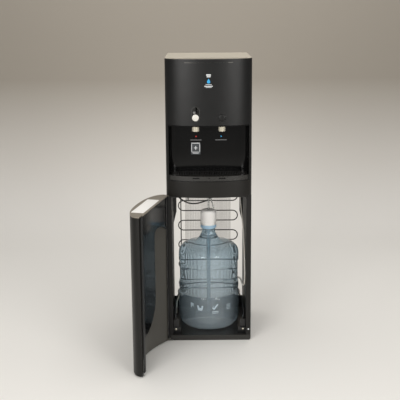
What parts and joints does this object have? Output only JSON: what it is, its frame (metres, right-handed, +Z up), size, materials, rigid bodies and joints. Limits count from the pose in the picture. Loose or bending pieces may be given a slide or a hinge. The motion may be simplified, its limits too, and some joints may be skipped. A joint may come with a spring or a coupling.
{
  "type": "bottom-loading water dispenser",
  "caption": "Floor-standing water dispenser with a bowed front, hot and cold spouts over a drip tray, and a lower door swung open on the water bottle that feeds it.",
  "frame": {"origin": "middle of the underside of the base pan, on the floor", "axes": "+Z up, -Y towards the user at the front, +X to the right as seen from the front"},
  "size_m": [0.4888, 0.7198, 1.228],
  "materials": {
    "cabinet_paint": "black paint with a fine even grain",
    "black_plastic": "black moulded plastic, lightly textured",
    "trim_plastic": "black moulded plastic, satin",
    "fascia_plastic": "black plastic with a soft gloss",
    "gloss_liner": "black plastic, high gloss",
    "top_plastic": "black plastic, satin gloss",
    "door_plastic": "black plastic, high gloss inside and out",
    "white_plastic": "white moulded plastic, semi gloss",
    "grey_plastic": "grey moulded plastic",
    "chrome": "bright plated",
    "plain_steel": "bright zinc plated",
    "coil_paint": "black enamel",
    "bottle_plastic": "clear with a blue tint",
    "collar_plastic": "light blue moulded plastic",
    "clear_plastic": "clear, slightly milky",
    "red_plastic": "red moulded plastic",
    "blue_plastic": "blue moulded plastic",
    "soft_black": "matt black soft plastic",
    "white_hose": "milky white silicone"
  },
  "bodies": {
    "cabinet": {"lower_left_side": "cabinet_paint", "lower_right_side": "cabinet_paint", "front_left_post": "cabinet_paint", "front_right_post": "cabinet_paint", "bay_left_lining": "cabinet_paint", "bay_right_lining": "cabinet_paint", "lower_back_wall": "cabinet_paint", "upper_left_side": "cabinet_paint", "upper_right_side": "cabinet_paint", "upper_back_panel": "cabinet_paint", "bottle_platform": "black_plastic", "rear_left_post": "black_plastic", "rear_right_post": "black_plastic", "mid_shelf": "black_plastic", "guide_hoop": "black_plastic", "left_guide_foot": "black_plastic", "right_guide_foot": "black_plastic", "switch_housing": "black_plastic", "cord_hook": "black_plastic", "compressor": "black_plastic", "base_pan": "trim_plastic", "mid_front_panel": "trim_plastic", "front_fascia": "fascia_plastic", "hot_control_bezel": "fascia_plastic", "recess_liner": "gloss_liner", "top_cover": "top_plastic", "tap_manifold": "white_plastic", "cold_tank": "white_plastic", "water_pump": "grey_plastic", "hot_spout": "chrome", "cold_spout": "chrome", "lower_hinge_bracket": "plain_steel", "upper_hinge_bracket": "plain_steel", "tank_shelf": "plain_steel", "hot_tank": "plain_steel", "condenser_coil": "coil_paint", "condenser_bracket": "coil_paint", "water_bottle": "bottle_plastic", "bottle_collar": "collar_plastic", "indicator_lens": "clear_plastic", "cord_gland": "soft_black", "power_cord": "soft_black", "cord_coil": "soft_black", "cord_tail": "soft_black", "mains_plug": "soft_black", "drain_hose": "white_hose"},
    "door": {"door_shell": "door_plastic", "door_top_cap": "top_plastic", "door_edge_strip": "soft_black"},
    "hot_button": {"hot_button": "white_plastic"},
    "cold_button": {"cold_button": "fascia_plastic"},
    "child_lock": {"child_lock_slider": "grey_plastic"},
    "tray": {"drip_tray": "trim_plastic"},
    "grille": {"drip_grille": "trim_plastic"},
    "hot_switch": {"hot_switch": "red_plastic"},
    "cold_switch": {"cold_switch": "blue_plastic"},
    "probe": {"probe_cap": "white_plastic", "probe_tube": "clear_plastic", "feed_tube": "clear_plastic", "vent_tube": "clear_plastic"}
  },
  "joints": [
    {"name": "door_hinge", "type": "hinge", "parent": "cabinet", "child": "door", "pos_m": [-0.1726, -0.1665, 0], "axis": [0, 0, 1], "range_deg": [0, 104.9]},
    {"name": "hot_button_press", "type": "slide", "parent": "cabinet", "child": "hot_button", "axis": [0, 1, 0], "range_m": [0, 0.004], "stiffness_N_per_m": 300},
    {"name": "cold_button_press", "type": "slide", "parent": "cabinet", "child": "cold_button", "axis": [0, 1, 0], "range_m": [0, 0.004], "stiffness_N_per_m": 300},
    {"name": "child_lock_slide", "type": "slide", "parent": "cabinet", "child": "child_lock", "axis": [0, 0, 1], "range_m": [0, 0.008]},
    {"name": "tray_slide", "type": "slide", "parent": "cabinet", "child": "tray", "axis": [0, -1, 0], "range_m": [0, 0.1]},
    {"name": "grille_lift", "type": "slide", "parent": "tray", "child": "grille", "axis": [0, 0, 1], "range_m": [0, 0.03]},
    {"name": "probe_lift", "type": "slide", "parent": "cabinet", "child": "probe", "axis": [0, 0, 1], "range_m": [0, 0.045]},
    {"name": "hot_switch_rock", "type": "hinge", "parent": "cabinet", "child": "hot_switch", "pos_m": [0.11, 0.165, 1.08], "axis": [1, 0, 0], "range_deg": [0, 20]},
    {"name": "cold_switch_rock", "type": "hinge", "parent": "cabinet", "child": "cold_switch", "pos_m": [0.082, 0.165, 1.08], "axis": [1, 0, 0], "range_deg": [0, 20]}
  ]
}
